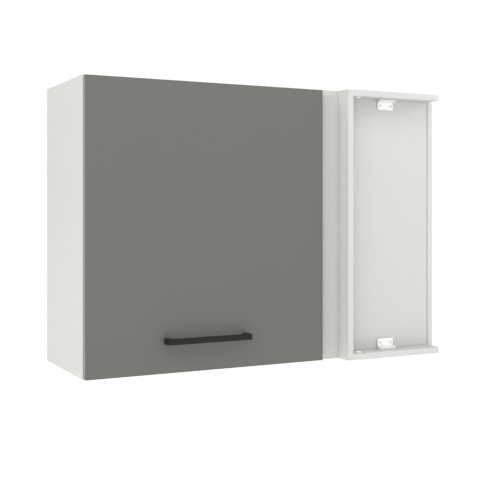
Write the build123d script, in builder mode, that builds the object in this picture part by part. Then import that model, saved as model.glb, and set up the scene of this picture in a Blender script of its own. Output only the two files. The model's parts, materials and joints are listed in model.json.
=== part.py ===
from build123d import *

import os
from math import atan2, degrees, sqrt

# A blind-corner wall cabinet of white board with one grey lift-up door. The closed-off
# right-hand front carries a frame of three boards, which spaces off the cabinet that
# joins it at a right angle in the corner of the room.
#
# Millimetres, +Z up, +Y towards the wall, +X to the right of a person facing the door.
# The origin is the centre of the row of wall-fixing holes, on the wall plane.

# ---------------------------------------------------------------- driving dimensions

# Carcass
width = 942.0             # outside, left to right
height = 660.0            # outside, bottom to top
depth = 290.0             # wall to the front edges of the boards
board = 15.0              # thickness of every white board
edge_ease = 0.5           # chamfer that takes the sharpness off each board

# Back sheet
sheet = 3.0               # hardboard thickness
sheet_lap = 7.5           # how far it laps the rear edge of each side
sheet_play = 0.5          # free room in the rebates
nail_pitch = 150.0        # most that two neighbouring nails stand apart
nail_radius = 0.8
nail_head_radius = 2.2
nail_head = 0.5
nail_length = 15.0

# Hanging rail, with the holes for the wall screws
rail_height = 70.0
wall_hole_radius = 3.0
wall_hole_spacing = 256.0
wall_hole_count = 4

# Shelf and its pins
shelf_free = 45.0         # how much of the cabinet's depth the shelf leaves free
shelf_play = 1.0          # free room at each end and at the back
shelf_pin_radius = 2.5
shelf_pin_bite = 9.0      # length in the side
shelf_pin_reach = 8.0     # length under the shelf
shelf_pin_setback = 37.0  # from the shelf's front and rear edges
shelf_hole_pitch = 32.0   # spare holes above and below the pins

# Closed front to the right of the door
blind_lap = 13.0          # how far it reaches behind the door
blind_gap = 2.0           # open joint at the right side
neighbour_depth = 290.0   # depth of the cabinet that joins at a right angle

# Spacer frame
spacer_depth = 45.5       # how far it stands in front of the carcass

# Door
door_strip = 57.0         # closed front that shows between the door and the spacer frame
door_top_gap = 3.0        # carcass top to the door's upper edge
door_bottom_gap = 2.0     # carcass bottom to the door's lower edge
door_gap = 1.6            # carcass front to the door's back
door_thickness = 18.0
edge_band = 1.0           # thickness of the band glued round the door
bumper_radius = 4.0
bumper_play = 0.1         # bumper to the carcass when shut
bumper_inset = 25.0       # from the door's left edge and from the opening's right

# Handle
handle_length = 207.0
handle_height = 13.0
handle_reach = 28.0       # how far it stands in front of the door
handle_bar = 8.0          # thickness of the bar, front to back
handle_leg = 11.0         # width of each leg
handle_flare = 11.0       # rounding between leg and bar
handle_ease = 0.6
handle_spacing = 192.0    # between the two screws
handle_screw_radius = 2.0
handle_screw_bite = 9.0   # length in the handle
handle_screw_head_radius = 4.0
handle_screw_head = 2.2
handle_screw_play = 0.25  # radial room in the door
handle_level = 75.0       # its middle, above the cabinet's bottom
handle_from_left = 284.5  # its middle, from the cabinet's left side

# Angle brackets between the closed front and the spacer frame
bracket_width = 46.0
bracket_long = 26.0
bracket_short = 21.0
bracket_thin = 4.0        # thickness of the long leg
bracket_thick = 5.0       # thickness of the short leg
bracket_round = 4.0
bracket_spacing = 32.0    # between its two screws
bracket_from_side = 124.0 # its middle, from the spacer's upright board

# Small wood screws of brackets and hinges
wood_screw_radius = 1.75
wood_screw_bite = 10.0
wood_screw_head_radius = 3.1
wood_screw_head = 1.5

# Cam joints and dowels between boards
cam_radius = 7.4
cam_height = 11.8
cam_pocket_play = 0.1
cam_reach = 34.0          # board end to the cam's centre
cam_setback = 45.0        # from the front and rear edges of a board
cam_bolt_radius = 3.0
cam_bolt_thread_radius = 2.4
cam_bolt_bite = 11.0
cam_bolt_head_radius = 3.4
cam_bolt_head = 3.0
cam_cover_radius = 8.5
cam_cover = 1.0
dowel_radius = 3.95
dowel_short = 10.0        # length in the board whose face is drilled
dowel_long = 20.0         # length in the board whose end is drilled
dowel_from_cam = 32.0
bore_play = 0.05          # radial room of a dowel, pin or screw in its bore
bore_extra = 0.5          # how much deeper a bore is than what it holds

# Long screws down into the closed front, and up into it from below
panel_screw_radius = 2.5
panel_screw_length = 50.0
panel_screw_head_radius = 4.8
panel_screw_head = 2.8
panel_screw_inset = 60.0  # from the ends of the closed front

# Screws from inside the cabinet into the spacer's upright board
spacer_screw_length = 35.0
spacer_screw_inset = 80.0 # from the inner top and bottom
spacer_screw_head = 2.2
spacer_dowel_inset = 40.0 # from the ends of the spacer's top and bottom boards

# Cam joints and dowels between the spacer's boards
spacer_cam_reach = 28.0   # board end to the cam's centre
spacer_side_dowel = 8.0   # in front of the carcass

# Lift axis of the door, which the two hinges give it
axis_forward = 10.6       # in front of the carcass
axis_drop = 4.5           # below the door's top edge

# Cup hinges
hinge_inset = 100.0       # hinge to the door's side edges
cup_radius = 17.5
cup_depth = 12.5
cup_drop = 22.5           # cup's centre below the door's top edge
cup_wall = 1.2
cup_flange_radius = 19.0
cup_flange = 1.0
cup_ear_reach = 29.0
cup_ear_height = 11.0
cup_screw_spacing = 48.0
cup_screw_drop = 6.0      # below the cup's centre
hinge_pin_radius = 1.5
hinge_pin_rise = 8.5      # above the cup's centre
hinge_pin_depth = 7.4     # in front of the door's back
running_clearance = 0.05
link_width = 10.0
link_thickness = 4.0
link_eye_radius = 3.4
link_drop = 12.0
link_run = 33.0
arm_start = 1.0           # arm's nose behind the carcass front
arm_length = 61.0
arm_inside = 13.4
arm_wall = 1.3
arm_height = 18.0
arm_below_pin = 21.0      # underside of the arm below the cup's pin
arm_rivet_radius = 1.7
arm_rivet_setback = 5.0
arm_rivet_rise = 4.5      # above the arm's underside
arm_rivet_head_radius = 2.6
arm_rivet_head = 0.8
plate_setback = 37.0      # plate screws behind the carcass front
plate_spacing = 32.0
plate_length = 50.0
plate_depth = 14.0
plate_thickness = 2.0
plate_body_start = 27.0
plate_body_play = 0.5
arm_screw_setbacks = (33.0, 52.0)
arm_screw_head_radius = 3.0
arm_screw_head = 1.4
arm_screw_radius = 1.9
arm_screw_length = 9.0

# Gas strut at the left side
strut_stand = 15.0        # strut's axis from the left side's inner face
strut_foot_setback = 50.0 # lower ball behind the carcass front
strut_foot_rise = 42.5    # lower ball above the shelf
strut_head_drop = 85.0    # upper ball below the door's top edge
strut_head_stand = 24.0   # upper ball behind the door's back
strut_ball_radius = 4.0
strut_neck_radius = 2.8
strut_socket_radius = 6.0
strut_socket_mouth = 5.0  # ball centre to the open side of a socket
strut_socket_wall = 1.2   # closed side of a socket
strut_shank_radius = 4.0
strut_shank_end = 14.0    # ball centre to the end of a socket's shank
strut_tube_radius = 7.5
strut_tube_wall = 1.2
strut_rod_showing = 14.0  # rod between tube and upper socket when shut
strut_tube_base = 4.0
strut_gland = 10.0
strut_piston = 8.0
strut_piston_play = 1.0   # free room below the piston when shut
strut_rod_radius = 3.0
strut_rod_seat = 6.0      # length of rod in the upper socket
strut_open_gap = 0.5      # upper stud to the upper socket
foot_plate = 2.0
foot_plate_width = 26.0
foot_plate_height = 40.0
foot_screw_spacing = 26.0
head_plate_width = 25.0
head_plate_height = 32.0
head_ear = 2.5
head_ear_gap = 5.0        # upper socket to the ear that carries the stud
head_ear_height = 16.0

# ---------------------------------------------------------------- levels and faces

top = board + rail_height / 2
bottom = top - height
left = -width / 2
right = width / 2
front = -depth
inner_top = top - board
inner_bottom = bottom + board
inner_left = left + board
inner_right = right - board
rear_inside = -sheet

spacer_left = right - neighbour_depth
spacer_inner = spacer_left + board
spacer_front = front - spacer_depth

door_left = left
door_right = spacer_left - door_strip
door_low = bottom + door_bottom_gap
door_top = top - door_top_gap
door_back = front - door_gap
door_front = door_back - door_thickness

blind_left = door_right - blind_lap
blind_right = inner_right - blind_gap

rail_front = rear_inside - board
rail_low = inner_top - rail_height

lift_y = front - axis_forward
lift_z = door_top - axis_drop

UP = Vector(0, 0, 1)
BACK = Vector(0, 1, 0)
RIGHT = Vector(1, 0, 0)


# ---------------------------------------------------------------- shapes used often

def slab(x, y, z, mode=Mode.ADD):
    """A block between the low and high values of x, y and z."""
    middle = tuple((low + high) / 2 for low, high in (x, y, z))
    size = [high - low for low, high in (x, y, z)]
    with Locations(middle):
        Box(*size, mode=mode)


def rod(start, along, radius, length, mode=Mode.ADD):
    """A round bar, or a bore, that runs from a point in one direction."""
    with Locations(Plane(origin=start, z_dir=along)):
        Cylinder(radius, length, align=(Align.CENTER, Align.CENTER, Align.MIN), mode=mode)


def bore(start, along, radius, length):
    """A round hole that leaves a little room round and beyond what it holds."""
    rod(start, along, radius + bore_play, length + bore_extra, mode=Mode.SUBTRACT)


def screw(seat, into, radius, length, head_radius, head):
    """A cross-head screw whose head bears on seat and whose shank runs on into the work."""
    rod(seat, into, radius, length)
    rod(seat, -into, head_radius, head)
    arm = head_radius * 1.1
    with Locations(Plane(origin=seat - into * head, z_dir=-into)):
        for turn in (0, 90):
            Box(arm, arm / 5, head * 0.9, rotation=(0, 0, turn),
                align=(Align.CENTER, Align.CENTER, Align.MAX), mode=Mode.SUBTRACT)


def wood_screw(seat, into, through):
    """A small wood screw that holds something of the given thickness to a board."""
    screw(seat, into, wood_screw_radius, through + wood_screw_bite,
          wood_screw_head_radius, wood_screw_head)


def wood_pilot(seat, into, through):
    """The hole that a small wood screw takes, in the fitting and in the board."""
    bore(seat, into, wood_screw_radius, through + wood_screw_bite)


def spread(low, high, pitch):
    """Evenly spaced places from low to high, no more than pitch apart."""
    steps = max(1, int((high - low) / pitch + 0.999))
    return [low + (high - low) * step / steps for step in range(steps + 1)]


def finish(piece, name):
    """Name a finished sub-part and write it."""
    piece.part.label = name
    export_step(piece.part, f"parts/{name}.step")


os.makedirs("parts", exist_ok=True)

# ---------------------------------------------------------------- where boards are joined

panel_levels = {"top": (inner_top + top) / 2, "bottom": (bottom + inner_bottom) / 2}
cam_rows = (front + cam_setback, rear_inside - cam_setback)
ends = ((inner_left, RIGHT), (inner_right, -RIGHT))


def panel_cams(level):
    """Cam joints of a horizontal panel: place on the side, ways in and out, cam's distance."""
    return [(Vector(x, y, level), along, UP, cam_reach) for y in cam_rows for x, along in ends]


def panel_dowels(level):
    """Dowels of a horizontal panel, next to its cam joints."""
    rows = (cam_rows[0] + dowel_from_cam, cam_rows[1] - dowel_from_cam)
    return [(Vector(x, y, level), along) for y in rows for x, along in ends]


rail_middle = (rail_front + rear_inside) / 2
rail_cam_level = rail_height / 4
rail_cams = [(Vector(x, rail_middle, rail_cam_level), along, BACK, cam_reach)
             for x, along in ends]
rail_dowels = [(Vector(x, rail_middle, -rail_height / 4), along) for x, along in ends]

cams = {"top": panel_cams(panel_levels["top"]), "bottom": panel_cams(panel_levels["bottom"]),
        "rail": rail_cams}
dowels = {"top": panel_dowels(panel_levels["top"]),
          "bottom": panel_dowels(panel_levels["bottom"]), "rail": rail_dowels}

spacer_dowel_columns = (spacer_inner + spacer_dowel_inset, inner_right - spacer_dowel_inset)
spacer_dowels = {name: [(Vector(x, front, level), BACK) for x in spacer_dowel_columns]
                 for name, level in panel_levels.items()}
spacer_cam_row = (front + spacer_front) / 2
spacer_cams = {name: (Vector(spacer_inner, spacer_cam_row, panel_levels[name]), RIGHT, mouth,
                      spacer_cam_reach)
               for name, mouth in (("top", -UP), ("bottom", UP))}
spacer_side_dowels = {name: (Vector(spacer_inner, front - spacer_side_dowel, level), RIGHT)
                      for name, level in panel_levels.items()}

blind_middle = front + board / 2
panel_screw_columns = (blind_left + panel_screw_inset, (blind_left + blind_right) / 2,
                       blind_right - panel_screw_inset)
panel_screws = {
    "top": [(Vector(x, blind_middle, top - panel_screw_head), -UP) for x in panel_screw_columns],
    "bottom": [(Vector(x, blind_middle, bottom + panel_screw_head), UP)
               for x in panel_screw_columns],
}

spacer_screw_levels = (inner_bottom + spacer_screw_inset, (inner_bottom + inner_top) / 2,
                       inner_top - spacer_screw_inset)
spacer_screws = [(Vector(spacer_left + board / 2, front + board, z), -BACK)
                 for z in spacer_screw_levels]

sheet_left = inner_left - sheet_lap
sheet_right = inner_right + sheet_lap
nail_columns = spread(inner_left + nail_pitch / 3, inner_right - nail_pitch / 3, nail_pitch)
nail_levels = spread(inner_bottom + rail_height / 2, 0, nail_pitch)
nails = {
    "top": [Vector(x, 0, panel_levels["top"]) for x in nail_columns],
    "bottom": [Vector(x, 0, panel_levels["bottom"]) for x in nail_columns],
    "left": [Vector(inner_left - sheet_lap / 2, 0, z) for z in nail_levels],
    "right": [Vector(inner_right + sheet_lap / 2, 0, z) for z in nail_levels],
}

wall_hole_columns = [wall_hole_spacing * (n - (wall_hole_count - 1) / 2)
                     for n in range(wall_hole_count)]

shelf_bottom = bottom + (height - board) / 2
shelf_rear = rear_inside - shelf_play
shelf_front = shelf_rear - (depth - shelf_free)
pin_level = shelf_bottom - shelf_pin_radius
pin_rows = (shelf_front + shelf_pin_setback, shelf_rear - shelf_pin_setback)

strut_x = inner_left + strut_stand
strut_foot = Vector(strut_x, front + strut_foot_setback,
                    shelf_bottom + board + strut_foot_rise)
foot_screws = [Vector(inner_left + foot_plate, strut_foot.Y, strut_foot.Z + dz)
               for dz in (-foot_screw_spacing / 2, foot_screw_spacing / 2)]

# Angle brackets, each in its own plane: x along the bracket, y off the board that its
# long leg lies on, z off the board that its short leg lies on.
bracket_column = spacer_inner + bracket_from_side
brackets = {
    "centre_bracket_top": Plane((bracket_column, front, inner_top), (1, 0, 0), (0, 0, -1)),
    "centre_bracket_bottom": Plane((bracket_column, front, inner_bottom), (-1, 0, 0), (0, 0, 1)),
}


def bracket_screws(name):
    """Seats, directions and leg thicknesses of one bracket's four screws."""
    plane = brackets[name]
    long_hole = (bracket_thick + bracket_long) / 2
    short_hole = (bracket_thin + bracket_short) / 2 + wood_screw_head / 2
    found = []
    for x in (-bracket_spacing / 2, bracket_spacing / 2):
        seat = plane.from_local_coords(Vector(x, bracket_thin, long_hole))
        found.append((seat, -plane.y_dir, bracket_thin))
        seat = plane.from_local_coords(Vector(x, short_hole, bracket_thick))
        found.append((seat, -plane.z_dir, bracket_thick))
    return found


# ---------------------------------------------------------------- carcass boards

def side_board(piece, x_low, x_high, outward, nail_points):
    """One side of the carcass: rebate for the back sheet, bores for bolts, dowels and pins."""
    inner = x_high if outward < 0 else x_low
    slab((x_low, x_high), (front, 0), (bottom, top))
    chamfer(piece.edges(), edge_ease)
    rebate = sorted((inner, inner + outward * (sheet_lap + sheet_play)))
    slab(rebate, (rear_inside, 0), (bottom, top), mode=Mode.SUBTRACT)
    into = Vector(outward, 0, 0)
    for name in cams:
        for seat, along, _, _ in cams[name]:
            if along.X == -outward:
                bore(seat, into, cam_bolt_thread_radius, cam_bolt_bite)
        for seat, along in dowels[name]:
            if along.X == -outward:
                bore(seat, into, dowel_radius, dowel_short)
    for row in pin_rows:
        for step in (-1, 0, 1):
            start = Vector(inner, row, pin_level + step * shelf_hole_pitch)
            bore(start, into, shelf_pin_radius, shelf_pin_bite)
    for point in nail_points:
        start = Vector(point.X, rear_inside, point.Z)
        bore(start, -BACK, nail_radius, nail_length - sheet)


with BuildPart() as left_side:
    side_board(left_side, left, inner_left, -1, nails["left"])
    for seat in foot_screws:
        wood_pilot(seat, -RIGHT, foot_plate)
finish(left_side, "left_side")

with BuildPart() as right_side:
    side_board(right_side, inner_right, right, 1, nails["right"])
finish(right_side, "right_side")


def cam_room(seat, along, mouth, reach):
    """The bore for a cam joint's bolt and the pocket for its cam, in the board drawn up."""
    bore(seat, along, cam_bolt_radius, reach)
    rod(seat + along * reach + mouth * (board / 2), -mouth, cam_radius + cam_pocket_play,
        cam_height + cam_pocket_play, mode=Mode.SUBTRACT)


def horizontal_panel(piece, name, z_low, z_high):
    """Top or bottom of the carcass, between the sides and in front of the back sheet."""
    slab((inner_left, inner_right), (front, rear_inside), (z_low, z_high))
    chamfer(piece.edges(), edge_ease)
    for joint in cams[name]:
        cam_room(*joint)
    for seat, along in dowels[name] + spacer_dowels[name]:
        bore(seat, along, dowel_radius, dowel_long)
    for point in nails[name]:
        bore(Vector(point.X, rear_inside, point.Z), -BACK, nail_radius, nail_length - sheet)
    for seat, into in panel_screws[name]:
        bore(seat, into, panel_screw_radius, board)
        rod(seat, -into, panel_screw_head_radius + bore_play, panel_screw_head,
            mode=Mode.SUBTRACT)


with BuildPart() as top_panel:
    horizontal_panel(top_panel, "top", inner_top, top)
    for x in (door_left + hinge_inset, door_right - hinge_inset):
        for dx in (-plate_spacing / 2, plate_spacing / 2):
            wood_pilot(Vector(x + dx, front + plate_setback, inner_top), UP, 0)
finish(top_panel, "top_panel")

with BuildPart() as bottom_panel:
    horizontal_panel(bottom_panel, "bottom", bottom, inner_bottom)
finish(bottom_panel, "bottom_panel")

with BuildPart() as back_panel:
    slab((sheet_left, sheet_right), (rear_inside, 0), (bottom, top))
    for x in wall_hole_columns:
        rod(Vector(x, 0, 0), -BACK, wall_hole_radius, sheet, mode=Mode.SUBTRACT)
    for points in nails.values():
        for point in points:
            rod(point, -BACK, nail_radius + bore_play, sheet, mode=Mode.SUBTRACT)
            rod(point, -BACK, nail_head_radius + bore_play, nail_head, mode=Mode.SUBTRACT)
finish(back_panel, "back_panel")

with BuildPart() as back_nails:
    for points in nails.values():
        for point in points:
            rod(point, -BACK, nail_radius, nail_length)
            rod(point, -BACK, nail_head_radius, nail_head)
finish(back_nails, "back_nails")

with BuildPart() as hanging_rail:
    slab((inner_left, inner_right), (rail_front, rear_inside), (rail_low, inner_top))
    chamfer(hanging_rail.edges(), edge_ease)
    for x in wall_hole_columns:
        rod(Vector(x, rear_inside, 0), -BACK, wall_hole_radius, board, mode=Mode.SUBTRACT)
    for joint in rail_cams:
        cam_room(*joint)
    for seat, along in rail_dowels:
        bore(seat, along, dowel_radius, dowel_long)
finish(hanging_rail, "hanging_rail")

# ---------------------------------------------------------------- joint hardware

with BuildPart() as cam_bolts:
    for group in (*cams.values(), spacer_cams.values()):
        for seat, along, _, reach in group:
            rod(seat, -along, cam_bolt_thread_radius, cam_bolt_bite)
            rod(seat, along, cam_bolt_radius - cam_pocket_play, reach)
            head_start = seat + along * (reach - cam_bolt_head)
            rod(head_start, along, cam_bolt_head_radius, cam_bolt_head)
finish(cam_bolts, "cam_bolts")


def cam_lock(seat, along, mouth, reach):
    """A cam that grips a bolt's head: a disc, slotted for the bolt, with a cross in its face."""
    face = seat + along * reach + mouth * (board / 2)
    slot = cam_bolt_head_radius + cam_pocket_play
    rod(face, -mouth, cam_radius, cam_height)
    with Locations(Plane(origin=face - mouth * (board / 2), x_dir=along, z_dir=mouth)):
        Box(cam_radius + slot, 2 * slot, cam_height,
            align=(Align.MAX, Align.CENTER, Align.MAX), mode=Mode.SUBTRACT)
        Cylinder(slot, cam_height, align=(Align.CENTER, Align.CENTER, Align.MAX),
                 mode=Mode.SUBTRACT)
        Box(cam_radius + slot, 2 * slot, slot,
            align=(Align.MAX, Align.CENTER, Align.MIN), mode=Mode.SUBTRACT)
    with Locations(Plane(origin=face, x_dir=along, z_dir=mouth)):
        for turn in (45, 135):
            Box(cam_radius, cam_radius / 5, cam_radius / 5, rotation=(0, 0, turn),
                align=(Align.CENTER, Align.CENTER, Align.MAX), mode=Mode.SUBTRACT)


with BuildPart() as cam_locks:
    for group in (*cams.values(), spacer_cams.values()):
        for joint in group:
            cam_lock(*joint)
finish(cam_locks, "cam_locks")

with BuildPart() as cam_covers:
    for seat, along, mouth, reach in (*cams["bottom"], *spacer_cams.values()):
        rod(seat + along * reach + mouth * (board / 2), mouth, cam_cover_radius, cam_cover)
    rims = cam_covers.edges().filter_by(GeomType.CIRCLE)
    shown = (inner_bottom + cam_cover, inner_top - cam_cover)
    chamfer([rim for rim in rims if min(abs(rim.center().Z - z) for z in shown) < 0.01],
            cam_cover / 2)
finish(cam_covers, "cam_covers")

with BuildPart() as wooden_dowels:
    for group in (*dowels.values(), *spacer_dowels.values(), spacer_side_dowels.values()):
        for seat, along in group:
            rod(seat - along * dowel_short, along, dowel_radius, dowel_short + dowel_long)
finish(wooden_dowels, "wooden_dowels")

# ---------------------------------------------------------------- shelf

with BuildPart() as shelf:
    slab((inner_left + shelf_play, inner_right - shelf_play), (shelf_front, shelf_rear),
         (shelf_bottom, shelf_bottom + board))
    chamfer(shelf.edges(), edge_ease)
finish(shelf, "shelf")

with BuildPart() as shelf_pins:
    for x, along in ends:
        for row in pin_rows:
            start = Vector(x, row, pin_level) - along * shelf_pin_bite
            rod(start, along, shelf_pin_radius, shelf_pin_bite + shelf_pin_reach)
finish(shelf_pins, "shelf_pins")

# ---------------------------------------------------------------- closed front

with BuildPart() as blind_panel:
    slab((blind_left, blind_right), (front, front + board), (inner_bottom, inner_top))
    chamfer(blind_panel.edges(), edge_ease)
    for group in panel_screws.values():
        for seat, into in group:
            bore(seat, into, panel_screw_radius, panel_screw_length)
    for seat, into in spacer_screws:
        bore(seat, into, wood_screw_radius, board)
    for name in brackets:
        for seat, into, through in bracket_screws(name)[::2]:
            wood_pilot(seat, into, through)
finish(blind_panel, "blind_panel")

with BuildPart() as panel_fixing_screws:
    for group in panel_screws.values():
        for seat, into in group:
            screw(seat, into, panel_screw_radius, panel_screw_length,
                  panel_screw_head_radius, panel_screw_head)
finish(panel_fixing_screws, "blind_panel_screws")

# ---------------------------------------------------------------- spacer frame

with BuildPart() as spacer_side:
    slab((spacer_left, spacer_inner), (spacer_front, front), (bottom, top))
    chamfer(spacer_side.edges(), edge_ease)
    for seat, into in spacer_screws:
        bore(seat, into, wood_screw_radius, spacer_screw_length)
    for level in panel_levels:
        seat, along, _, _ = spacer_cams[level]
        bore(seat, -along, cam_bolt_thread_radius, cam_bolt_bite)
        seat, along = spacer_side_dowels[level]
        bore(seat, -along, dowel_radius, dowel_short)
finish(spacer_side, "spacer_side")


def spacer_board(piece, level, z_low, z_high, bracket_name):
    """Top or bottom board of the spacer frame, from its upright to the right-hand side."""
    slab((spacer_inner, inner_right), (spacer_front, front), (z_low, z_high))
    chamfer(piece.edges(), edge_ease)
    for seat, along in spacer_dowels[level]:
        bore(seat, -along, dowel_radius, dowel_short)
    cam_room(*spacer_cams[level])
    seat, along = spacer_side_dowels[level]
    bore(seat, along, dowel_radius, dowel_long)
    for seat, into, through in bracket_screws(bracket_name)[1::2]:
        wood_pilot(seat, into, through)


with BuildPart() as spacer_top:
    spacer_board(spacer_top, "top", inner_top, top, "centre_bracket_top")
finish(spacer_top, "spacer_top")

with BuildPart() as spacer_bottom:
    spacer_board(spacer_bottom, "bottom", bottom, inner_bottom, "centre_bracket_bottom")
finish(spacer_bottom, "spacer_bottom")

with BuildPart() as spacer_fixing_screws:
    for seat, into in spacer_screws:
        screw(seat, into, wood_screw_radius, spacer_screw_length,
              wood_screw_head_radius, spacer_screw_head)
finish(spacer_fixing_screws, "spacer_screws")


def angle_bracket(piece, name):
    """A moulded L: long leg on one board, short leg on the other, two screws in each."""
    plane = brackets[name]
    with Locations(plane):
        Box(bracket_width, bracket_thin, bracket_long,
            align=(Align.CENTER, Align.MIN, Align.MIN))
        Box(bracket_width, bracket_short, bracket_thick,
            align=(Align.CENTER, Align.MIN, Align.MIN))
    far_ends = [edge for edge in piece.edges()
                if abs(abs(plane.to_local_coords(edge.center()).X) - bracket_width / 2) < 0.01
                and is_far_corner(plane.to_local_coords(edge.center()))]
    fillet(far_ends, bracket_round)
    for seat, into, through in bracket_screws(name):
        wood_pilot(seat, into, through)


def is_far_corner(place):
    """Whether an edge's middle lies at the free end of either leg of a bracket."""
    on_long = abs(place.Y - bracket_thin / 2) < 0.01 and abs(place.Z - bracket_long) < 0.01
    on_short = abs(place.Z - bracket_thick / 2) < 0.01 and abs(place.Y - bracket_short) < 0.01
    return on_long or on_short


for name in brackets:
    with BuildPart() as bracket:
        angle_bracket(bracket, name)
    finish(bracket, name)

with BuildPart() as bracket_fixing_screws:
    for name in brackets:
        for seat, into, through in bracket_screws(name):
            wood_screw(seat, into, through)
finish(bracket_fixing_screws, "bracket_screws")

# ---------------------------------------------------------------- door

hinge_columns = {"left": door_left + hinge_inset, "right": door_right - hinge_inset}
cup_level = door_top - cup_drop
cup_screw_level = cup_level - cup_screw_drop
hinge_pin_y = door_back - hinge_pin_depth
hinge_pin_z = cup_level + hinge_pin_rise
handle_middle = left + handle_from_left
handle_z = bottom + handle_level
handle_columns = (handle_middle - handle_spacing / 2, handle_middle + handle_spacing / 2)

strut_head = Vector(strut_x, door_back + strut_head_stand, door_top - strut_head_drop)
head_ear_x = strut_x + strut_socket_mouth + head_ear_gap
head_screw_x = head_ear_x + (head_ear + head_plate_width) / 2
head_screws = [Vector(head_screw_x, door_back + head_ear, strut_head.Z + dz)
               for dz in (-head_plate_height / 4, head_plate_height / 4)]
cup_screws = [Vector(x + dx, door_back + cup_flange, cup_screw_level)
              for x in hinge_columns.values()
              for dx in (-cup_screw_spacing / 2, cup_screw_spacing / 2)]

with BuildPart() as door_panel:
    slab((door_left + edge_band, door_right - edge_band), (door_front, door_back),
         (door_low + edge_band, door_top - edge_band))
    for x in hinge_columns.values():
        rod(Vector(x, door_back, cup_level), -BACK, cup_radius + bore_play,
            cup_depth + bore_play, mode=Mode.SUBTRACT)
    for seat in cup_screws:
        wood_pilot(seat, -BACK, cup_flange)
    for seat in head_screws:
        wood_pilot(seat, -BACK, head_ear)
    for x in handle_columns:
        rod(Vector(x, door_back, handle_z), -BACK, handle_screw_radius + handle_screw_play,
            door_thickness, mode=Mode.SUBTRACT)
finish(door_panel, "door_panel")

with BuildPart() as door_edge_band:
    slab((door_left, door_right), (door_front, door_back), (door_low, door_top))
    chamfer(door_edge_band.edges(), edge_ease)
    slab((door_left + edge_band, door_right - edge_band), (door_front, door_back),
         (door_low + edge_band, door_top - edge_band), mode=Mode.SUBTRACT)
finish(door_edge_band, "door_edge_band")

with BuildPart() as door_bumpers:
    for x in (door_left + bumper_inset, blind_left - bumper_inset):
        rod(Vector(x, door_back, (bottom + inner_bottom) / 2), BACK, bumper_radius,
            door_gap - bumper_play)
finish(door_bumpers, "door_bumpers")

with BuildPart() as handle:
    with BuildSketch(Plane.XY.offset(handle_z - handle_height / 2)):
        with Locations((handle_middle, door_front)):
            Rectangle(handle_length, handle_reach, align=(Align.CENTER, Align.MAX))
            Rectangle(handle_length - 2 * handle_leg, handle_reach - handle_bar,
                      align=(Align.CENTER, Align.MAX), mode=Mode.SUBTRACT)
    extrude(amount=handle_height)
    inner_corners = [edge for edge in handle.edges().filter_by(Axis.Z)
                     if abs(edge.center().Y - (door_front - handle_reach + handle_bar)) < 0.01]
    fillet(inner_corners, handle_flare)
    outer_corners = [edge for edge in handle.edges()
                     if abs(edge.center().Y - (door_front - handle_reach)) < 0.01]
    chamfer(outer_corners, handle_ease)
    for x in handle_columns:
        bore(Vector(x, door_front, handle_z), -BACK, handle_screw_radius, handle_screw_bite)
finish(handle, "handle")

with BuildPart() as handle_screws:
    for x in handle_columns:
        screw(Vector(x, door_back, handle_z), -BACK, handle_screw_radius,
              door_thickness + handle_screw_bite, handle_screw_head_radius, handle_screw_head)
finish(handle_screws, "handle_screws")

# ---------------------------------------------------------------- hinges

pin_half = sqrt(cup_radius ** 2 - (hinge_pin_rise + hinge_pin_radius) ** 2) - bore_play


def hinge_cup(x):
    """A drawn steel cup, open at the door's back, with ears for two screws."""
    centre = Vector(x, door_back, cup_level)
    rod(centre, -BACK, cup_radius, cup_depth)
    rod(centre, BACK, cup_flange_radius, cup_flange)
    slab((x - cup_ear_reach, x + cup_ear_reach), (door_back, door_back + cup_flange),
         (cup_screw_level - cup_ear_height / 2, cup_screw_level + cup_ear_height / 2))
    rod(centre + BACK * cup_flange, -BACK, cup_radius - cup_wall,
        cup_depth + cup_flange - cup_wall, mode=Mode.SUBTRACT)
    rod(Vector(x - cup_radius, hinge_pin_y, hinge_pin_z), RIGHT,
        hinge_pin_radius + bore_play, 2 * cup_radius, mode=Mode.SUBTRACT)
    for seat in cup_screws:
        wood_pilot(seat, -BACK, cup_flange)


def hinge_link(x):
    """The cranked link: an eye on the cup's pin, a drop, and a run back into the arm."""
    with BuildSketch(Plane.YZ.offset(x - link_width / 2)) as outline:
        with Locations((hinge_pin_y, hinge_pin_z)):
            Circle(link_eye_radius)
            Rectangle(link_thickness, link_drop, align=(Align.CENTER, Align.MAX))
        with Locations((hinge_pin_y - link_thickness / 2, hinge_pin_z - link_drop)):
            Rectangle(link_run + link_thickness / 2, link_thickness,
                      align=(Align.MIN, Align.CENTER))
        with Locations((hinge_pin_y, hinge_pin_z)):
            Circle(hinge_pin_radius + running_clearance, mode=Mode.SUBTRACT)
    extrude(outline.sketch, amount=link_width)


arm_low = hinge_pin_z - arm_below_pin
arm_front = front + arm_start
arm_rear = arm_front + arm_length
arm_outer = arm_inside + 2 * arm_wall
rivet_y = arm_front + arm_rivet_setback
rivet_z = arm_low + arm_rivet_rise


def hinge_arm(x):
    """The channel that the link runs in, open towards the top panel."""
    slab((x - arm_outer / 2, x + arm_outer / 2), (arm_front, arm_rear),
         (arm_low, arm_low + arm_height))
    slab((x - arm_inside / 2, x + arm_inside / 2), (arm_front, arm_rear),
         (arm_low + arm_wall, arm_low + arm_height), mode=Mode.SUBTRACT)
    rod(Vector(x - arm_outer, rivet_y, rivet_z), RIGHT, arm_rivet_radius + bore_play,
        2 * arm_outer, mode=Mode.SUBTRACT)
    for setback in arm_screw_setbacks:
        bore(Vector(x, front + setback, arm_low), UP, arm_screw_radius, arm_wall)


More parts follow.
